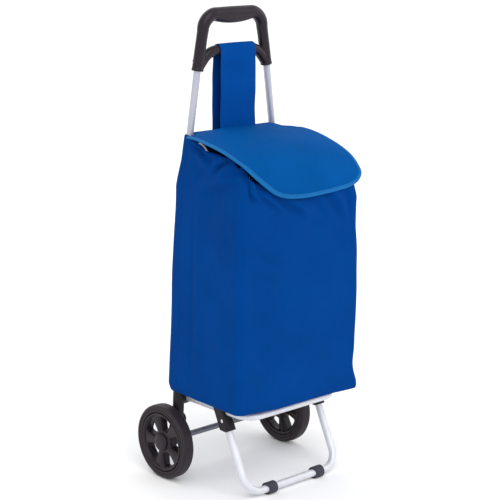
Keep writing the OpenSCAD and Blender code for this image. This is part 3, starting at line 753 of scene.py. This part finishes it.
def bag_relief(p, normal, t):
    """How far each point moves along its normal: creases, puffs, soft waves and the gathered mouth."""
    d = np.zeros(p.shape[:2])
    for a, b, width, depth in creases():
        a, b = np.array(a, float), np.array(b, float)
        ab = b - a
        u = np.clip(((p - a) @ ab) / (ab @ ab), 0, 1)
        off = p - (a + u[..., None] * ab)
        away = (off * normal).sum(-1)
        # the distance is measured along the cloth
        gap = np.sqrt(np.maximum((off ** 2).sum(-1) - away ** 2, 0)) + FAR_GAP * (abs(away) > FAR)
        d += depth * FOLD_DEPTH * np.exp(-(gap / width) ** 2) * np.sin(np.pi * np.clip(0.12 + 0.76 * u, 0, 1))
    for a, width, height in PUFFS:
        gap = np.linalg.norm((p - np.array(a, float)) * (0.7, 1, 1), axis=-1)
        d += height * np.exp(-(gap / width) ** 2)
    off_floor = smooth((p[..., 2] - 176) / 40)
    d += wobble(p, 62, 1.8) * off_floor + wobble(p, 150, 2.6, 4.2) * off_floor
    front = smooth((-150 - p[..., 1]) / 50)
    d += front * 3.0 * np.exp(-((p[..., 2] - 300) / 110) ** 2) * (1 - (p[..., 0] / 160) ** 2)
    # the gathered mouth: small close folds in the hem
    around = run_length(p[-1])
    mouth = smooth((t - 0.86) / 0.14)[:, None] * (1 - smooth((p[..., 1] + 60) / 30))
    d += mouth * (1.3 * np.sin(around / 7.5 + 1.5 * np.sin(around / 31)) + 0.8 * np.sin(around / 4.1 + 1))
    return d * np.where(p[..., 1] > -30, 0.35, 1.0)


def bag_mesh():
    """The bag's points from its closed bottom to its turned-in hem, and what the stitches need."""
    t = np.r_[0:0.03:6j, 0.042:0.74:44j, 0.75:1:56j]
    p = bag_rows(t)
    tangent = unit(np.roll(p, -1, 1) - np.roll(p, 1, 1))
    normal = unit(np.cross(tangent, np.array([0, 0, -1.0])))
    if (normal[5, :, 0] * p[5, :, 0]).sum() < 0:
        normal = -normal
    p = p + normal * bag_relief(p, normal, t)[..., None]
    # the mouth's hem turns in to the drawcord
    inner = []
    for pull, drop in [(2.5, -1.5), (5.5, -0.5), (8.0, 3.0), (8.6, 8.0)]:
        row = p[-1].copy()
        row[:, :2] -= unit(row[:, :2] - np.array([0, -105.0])) * pull
        row[:, 2] -= drop
        inner.append(row)
    p = np.vstack([p, np.stack(inner)])
    # closed bottom, sagging a little between the platform's tubes
    first = p[0]
    base = []
    for u in [0.992, 0.975, 0.95, 0.9, 0.8, 0.6, 0.4, 0.2, 0.03]:
        row = first.copy()
        row[:, :2] = BAG_MIDDLE + (row[:, :2] - BAG_MIDDLE) * u
        level = BOTTOM_Z + (first[:, 2] - BOTTOM_Z) * smooth((u - 0.78) / 0.3) - 2.0 * smooth((1 - u) / 0.1)
        row[:, 2] = np.maximum(level, BOTTOM_Z - 2)
        base.append(row)
    p = np.vstack([np.stack(base[::-1]), p])
    uv = cloth_uv(run_length(first)[None, :], run_length(p[:, 60])[:, None])
    v, f = grid(p, wrap=True)
    f.append(list(range(p.shape[1] - 1, -1, -1)))
    return v, f, uv, p, len(base), normal


v, f, uv, bag_p, base_rows, bag_normal = bag_mesh()
columns = bag_p.shape[1]
front_columns = list(range(FOLD_AT, columns - FOLD_AT + 1))
back_columns = list(range(columns - FOLD_AT, columns)) + list(range(FOLD_AT + 1))
back_set = set(back_columns)


def is_back(face):
    """Whether a face belongs to the cloth that stays round the tubes."""
    return len(face) == 4 and min(face) // columns >= base_rows and all(i % columns in back_set for i in face)


for name, back in (("bag_shell", False), ("bag_back", True)):
    faces = [q for q in f if is_back(q) == back]
    used = sorted({i for q in faces for i in q})
    new = {i: k for k, i in enumerate(used)}
    bag = put(name, v[used], [[new[i] for i in q] for q in faces], M["bag"], "frame", "cloth", uv=uv[used])
    # the inner face gets the darkened cloth, painted shade
    bag.data.materials.append(M["inside"])
    mod = thicken(bag, 1.2, -1)
    mod.material_offset, mod.material_offset_rim = 1, 0
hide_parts("bag_body")
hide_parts("bag_sleeve_left", "bag_sleeve_right")
folding = ["bag_shell", "mouth_cord", "bottom_board"]       # the bag's pieces, which get meshes of their own below

# double stitching above the bottom edge and below the mouth's hem
for k, name in ((2, "bag_stitch_bottom_a"), (5, "bag_stitch_bottom_b"), (-6, "bag_stitch_hem")):
    row = np.arange(len(bag_normal))[k]
    for end, loop in (("", front_columns), ("_back", back_columns)):
        stitches(bag_p[base_rows + row][loop], bag_normal[row][loop], name + end, "frame", pitch=5, lift=0.25)
    folding.append(name)


def board():
    """The stiff board in the bag's bottom: a thin plate with round corners and eased edges."""
    low, high = (np.array(c) * 1000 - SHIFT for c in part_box("base_board"))
    radius = 12.0
    outline = []
    for sx, sy, a0 in ((1, 1, 0), (-1, 1, 90), (-1, -1, 180), (1, -1, 270)):
        cx = (high[0] if sx > 0 else low[0]) - sx * radius
        cy = (high[1] if sy > 0 else low[1]) - sy * radius
        outline += [(cx + radius * math.cos(a), cy + radius * math.sin(a))
                    for a in np.radians(np.linspace(a0, a0 + 90, 9))]
    outline = np.array(outline)
    middle = (low[:2] + high[:2]) / 2
    rings = []
    for shrink, z in ((0.985, low[2]), (1, low[2] + 0.5), (1, high[2] - 0.5), (0.985, high[2])):
        rings.append(np.column_stack([middle + (outline - middle) * shrink, np.full(len(outline), z)]))
    v, f = grid(np.stack(rings), wrap=True)
    return v, f + caps(len(rings), len(outline))


plate = put("bottom_board", *board(), M["board"], "frame", "black_plastic", hard=40)
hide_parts("base_board")


# ---------- drawcord ----------

hem = bag_p[-3]
for _ in range(6):
    hem = 0.5 * hem + 0.25 * (np.roll(hem, 1, 0) + np.roll(hem, -1, 0))
# it lies in the hem and comes out in one short stretch on the left
out_of_hem = np.exp(-((hem[:, 1] + 77) / 17) ** 4) * (hem[:, 0] < 0)
hem = hem + np.stack([-3.0 * out_of_hem, 0 * out_of_hem, -3.5 + 9.5 * out_of_hem], -1)
cord_line = path(hem[::4], 4, closed=True)
v, f = sweep(cord_line, 2.0, 10, closed=True, up=(0, 0, 1))
cord = put("mouth_cord", v, f, M["cord"], "frame", "cord")
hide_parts("drawstring")


# ---------- flap ----------

# (y, z) along the flap's left edge, its middle and its right edge, from the seam to below the hem
LEFT = [(-36, 684.5), (-66, 685.5), (-98, 684), (-140, 678.5), (-172, 672), (-204, 663), (-219, 650),
        (-222, 630), (-222, 600), (-221, 570)]
MID = [(-34, 692.5), (-66, 692.5), (-98, 690.5), (-140, 684.5), (-172, 676), (-200, 661), (-217, 639),
       (-223, 612), (-224, 595), (-223, 570)]
RIGHT = [(-36, 677), (-60, 677.5), (-81, 676), (-110, 670.5), (-138, 662.5), (-166, 652), (-194, 636),
         (-212, 615), (-218, 595), (-217, 570)]


def profile(points):
    """Distances along a smooth line through (y, z) points, with its y and z at each."""
    p = path([(0, y, z) for y, z in points], 1.5)
    return run_length(p), p[:, 1], p[:, 2]


PROFILES = [profile(k) for k in (LEFT, MID, RIGHT)]


def flap_at(xi, s):
    """(y, z) of the flap's upper face at xi (-1 left edge, 1 right edge) and s millimetres from its seam."""
    shares = [xi * (xi - 1) / 2, 1 - xi * xi, xi * (xi + 1) / 2]
    return [sum(k * np.interp(s, pr[0], pr[i]) for k, pr in zip(shares, PROFILES)) for i in (1, 2)]


# (x, z) of the hem, from the flap's left corner to its right one
HEM = [(-150, 664), (-146, 657), (-138, 650), (-128, 641), (-115, 629), (-101, 617), (-88, 606), (-74, 596),
       (-58, 588.5), (-38, 583), (-10, 580.5), (25, 579.5), (60, 580), (90, 581), (116, 582.5), (139, 586),
       (155, 592.5), (164, 601), (168, 611)]


def flap_mesh(cols=71, rows=46):
    """Points of the flap's cloth in rows from the seam to the hem, and its uv pairs."""
    hx, hz = np.array(HEM).T
    # spread the columns evenly along the hem, so the corners are well made
    run = np.r_[0, np.cumsum(np.hypot(np.diff(hx), np.diff(hz)))]
    even = np.linspace(0, run[-1], cols)
    hx, hz = np.interp(even, run, hx), np.interp(even, run, hz)
    xi = 2 * (hx - hx[0]) / (hx[-1] - hx[0]) - 1
    ends = []
    for a, z in zip(xi, hz):
        s = np.linspace(150, 262, 400)
        _, zz = flap_at(a, s)
        ends.append(s[np.argmin(abs(zz - z))])
    ends = np.convolve(np.pad(ends, 2, "edge"), np.ones(5) / 5, "valid")
    p = np.zeros((rows, cols, 3))
    u = np.linspace(0, 1, rows)[:, None]
    s = u * np.array(ends)[None]
    a = np.broadcast_to(xi, s.shape)
    y, z = flap_at(a, s)
    # the sides widen from the seam to the front corners
    left = np.interp(s, [0, 60, 160, 260], [-126, -138, -150, -150])
    right = np.interp(s, [0, 40, 120, 190, 230], [146, 151, 157, 162, 168])
    x = left + (right - left) * (a + 1) / 2
    p[..., 0], p[..., 1], p[..., 2] = x, y, z
    # a dent by the right tube between two low ridges, soft waves, and a shallow fold on the left
    p[..., 2] += 4.0 * np.exp(-((x - 92) / 24) ** 2 - ((y + 36) / 26) ** 2)
    p[..., 2] -= 4.5 * np.exp(-((x - 124) / 18) ** 2 - ((y + 50) / 8) ** 2)
    p[..., 2] += 2.5 * np.exp(-((x - 120) / 20) ** 2 - ((y + 66) / 8) ** 2)
    p[..., 2] += wobble(p, 90, 1.6, 2.0) * smooth(u * 4)
    fold = np.exp(-((a + 0.62 + 0.25 * u) / 0.10) ** 2) * smooth(u * 2)
    p[..., 2] -= 1.2 * fold
    p[..., 1] += wobble(p, 70, 1.6, 9.0) * smooth((u - 0.6) * 3)
    uv = np.stack([x, s], -1).reshape(-1, 2) * 0.001
    return p, uv


flap_p, uv = flap_mesh()
flap = put("flap_cloth", *grid(flap_p), M["flap"], "flap", "cloth", uv=uv)
thicken(flap, 2.2)
subdivide(flap)
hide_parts("flap_panel")


def edge_line(a):
    """The flap's left edge, hem and right edge in one line."""
    return np.vstack([a[:, 0], a[-1, 1:-1], a[::-1, -1]])


flap_n = unit(np.cross(np.gradient(flap_p, axis=1), np.gradient(flap_p, axis=0)))
if flap_n[5, 35, 2] < 0:
    flap_n = -flap_n
edge, edge_n = edge_line(flap_p), edge_line(flap_n)
steps = run_length(edge)
even = np.arange(0, steps[-1], 3.0)
edge, edge_n = at_run(even, steps, edge), at_run(even, steps, edge_n)
for _ in range(2):
    edge[1:-1] = 0.5 * edge[1:-1] + 0.25 * (edge[:-2] + edge[2:])
edge_n = unit(edge_n)
outward = unit(np.cross(unit(np.gradient(edge, axis=0)), edge_n))
if (outward[:, 0] * edge[:, 0]).sum() < 0:
    outward = -outward
# a folded tape: nearly flat faces above and below the flap, and a round outer edge, as (outward, up) pairs
TAPE = np.array([(1.9, 0), (1.5, 1.3), (0.4, 2.0), (-2.0, 2.1), (-4.6, 2.0), (-6.6, 1.9), (-7.2, 1.2),
                 (-7.2, -1.2), (-6.6, -1.9), (-4.6, -2.0), (-2.0, -2.1), (0.4, -2.0), (1.5, -1.3)])
ripple = 0.18 * np.sin(even / 2.3) + 0.12 * np.sin(even / 0.9)
tape_p = (edge[:, None] + TAPE[None, :, :1] * outward[:, None]
          + (TAPE[None, :, 1:] * (1 + 0.12 * ripple[:, None, None])) * edge_n[:, None])
v, f = grid(tape_p, wrap=True)
binding = put("flap_binding", v, f + caps(*tape_p.shape[:2]), M["piping"], "flap", "piping",
              uv=cloth_uv(even[:, None], run_length(TAPE)[None]), sub=1)
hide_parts("flap_piping")
thread = stitches(edge - 5.4 * outward + 2.0 * edge_n, edge_n, "flap_stitch", "flap", pitch=4, lift=0.3)


def cloth_area(a):
    """Area in square metres of a (rows, columns, 3) array of points."""
    across, along = a[1:, 1:] - a[:-1, :-1], a[1:, :-1] - a[:-1, 1:]
    return 0.5e-6 * np.linalg.norm(np.cross(across, along), axis=-1).sum()


float(cloth_area(flap_p))


# ---------- strap ----------

STRAP_HALF = 45.5


def strap_line():
    """The strap's middle line: up from the flap, over the crossbar and down to its end on the bag's back."""
    top, over = lean_y(843), 11.5
    arc = [(top - over * math.cos(a), BAR_Z + over * math.sin(a)) for a in np.radians(np.arange(0, 181, 15))]
    front = [(-35.2, 688), (-34.8, 697), (-34.8, 715), (-35, 760), (-36, 805), (-36.6, 830)]
    rear = [(-13, 825), (-11, 790), (-9.5, 740), (-10, 700), (-10.3, 680), (-9.5, 650), (-7.6, 630)]
    return path([(0, y, z) for y, z in front + arc[1:-1] + rear], 3.0)


line = strap_line()
across = np.linspace(-STRAP_HALF, STRAP_HALF, 25)
nrm = np.cross(np.array([1.0, 0, 0]), unit(np.gradient(line, axis=0)))
if nrm[3, 1] > 0:
    nrm = -nrm
run = run_length(line)
p = line[:, None] + np.stack([across, 0 * across, 0 * across], -1)[None]
# it hangs in soft waves, which are small where it lies on the crossbar
free = np.where(line[:, 2] < 828, 1.0, 0.15)[:, None]
sway = wobble(p, 48, 2.2, 5.0) + 0.9 * np.cos(across / STRAP_HALF * 2.4)[None]
p = p + nrm[:, None] * (sway * free)[..., None]
p[..., 0] += 5.2 + 1.2 * smooth((line[:, 2] - 700) / -60)[:, None] + wobble(p[:, :1], 70, 1.0, 3.0) * free
strap = put("handle_strap", *grid(p), M["strap"], "frame", "cloth", uv=cloth_uv(across[None], run[:, None]))
thicken(strap, 1.8)
subdivide(strap)
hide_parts("hanging_strap")
crest = int(np.argmax(line[:, 2]))
for i, letter in ((1, "a"), (3, "b"), (-2, "c"), (-4, "d")):
    stitches(p[:crest + 2, i], nrm[:crest + 2], "strap_stitch_" + letter, "frame", lift=1.0)
# the box of stitches that sews the strap's rear end to the bag's back
sewn = [k for k in range(crest + 1, len(line)) if line[k, 2] < 678][:-1]
box = (p[sewn, 1], p[sewn, -2], p[sewn[0], 1:-1], p[sewn[-1], 1:-1])
for seam, letter in zip(box, "abcd"):
    stitches(seam, nrm[sewn[0]], "strap_box_stitch_" + letter, "frame", lift=1.0)


# ---------- yoke that joins flap, strap and the bag's back ----------

def yoke():
    """The flap's turned-in rear edge, in front of the tubes, and the panel from it to the bag's back."""
    first = flap_p[0]
    roll = [first + np.array([0, dy, dz]) for dy, dz in
            ((-3.0, -0.4), (-0.5, 0.0), (2.2, -0.6), (4.2, -2.6), (5.0, -6), (5.2, -12), (4.6, -20))]
    rows = []
    xs = np.linspace(-97, 97, 41)
    z_first = np.interp(xs, first[:, 0], first[:, 2])
    for y, dz, k in [(-37, -0.4, 1), (-33, -0.6, 1), (-27, -1.8, 0.9), (-20, -4, 0.7), (-15.5, -6.5, 0.5),
                     (-14.4, -10, 0.3), (-14.4, -15, 0.2), (-14.8, -24, 0.1)]:
        rows.append(np.stack([xs, np.full_like(xs, y), 693 + dz + k * (z_first - 693)], -1))
    return np.stack(roll)[:, abs(first[:, 0]) < 118], np.stack(rows)


for name, p in zip(("flap_rear_hem", "flap_yoke"), yoke()):
    panel = put(name, *grid(p), M["flap"], None, "cloth", uv=cloth_uv(p[..., 0], p[..., 1] - p[..., 2]))
    thicken(panel, 2.0)
    subdivide(panel)
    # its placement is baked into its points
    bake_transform(panel)


# ---------- the bag's and the flap's pieces get meshes of their own ---

flap_pieces = ["flap_cloth", "flap_binding", "flap_stitch"]
for names, y, keep in ((folding, FOLD_Y, 0.035), (flap_pieces, SEAM_Y, 0.10)):
    for name in names:
        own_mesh(bpy.data.objects[name])


# ---------- floor, light and camera ----------

def look(thing, at, to):
    thing.location = at
    thing.rotation_mode = "QUATERNION"
    thing.rotation_quaternion = (Vector(to) - Vector(at)).to_track_quat("-Z", "Y")


FLOOR_HALF = 70     # metres
mesh = bpy.data.meshes.new("floor")
mesh.from_pydata([(x * FLOOR_HALF, y * FLOOR_HALF, 0) for x, y in ((-1, -1), (1, -1), (1, 1), (-1, 1))], [],
                 [(0, 1, 2, 3)])
mesh.materials.append(material("pale_floor", (0.93, 0.93, 0.93), 0.9, Specular_IOR_Level=0.0))
floor = bpy.data.objects.new("floor", mesh)
link(floor)
floor.location.z = -0.0005

world = bpy.data.worlds.new("studio")
bpy.context.scene.world = world
world.use_nodes = True
background = world.node_tree.nodes["Background"]
background.inputs["Color"].default_value = (1.0, 1.0, 1.0, 1)
background.inputs["Strength"].default_value = 1.0

# a sun's size is its angle in radians, and an area light's is its side in metres
for name, kind, at, size, power in (("key", "SUN", (-1.0, -2.6, 3.0), 0.9, 1.05),
                                    ("fill", "AREA", (2.8, -1.6, 1.8), 2.4, 14),
                                    ("rim", "AREA", (0.6, 2.8, 2.6), 2.0, 16)):
    light = bpy.data.lights.new(name, kind)
    light.energy = power
    if kind == "SUN":
        light.angle = size
    else:
        light.size = size
    lamp = bpy.data.objects.new(name, light)
    link(lamp)
    look(lamp, at, (0, 0, 0.45))

cam = bpy.data.cameras.new("camera")
cam.lens, cam.sensor_width = 111.84, 36
cam.clip_start, cam.clip_end = 0.1, 60
camera = bpy.data.objects.new("camera", cam)
link(camera)
at = Vector((-1.9830, -2.2851 + AXLE_Y * 0.001, 1.1492))
look(camera, at, at + Vector((0.6502, 0.7247, -0.2284)))
bpy.context.scene.camera = camera
bpy.context.scene.view_settings.view_transform = "Standard"
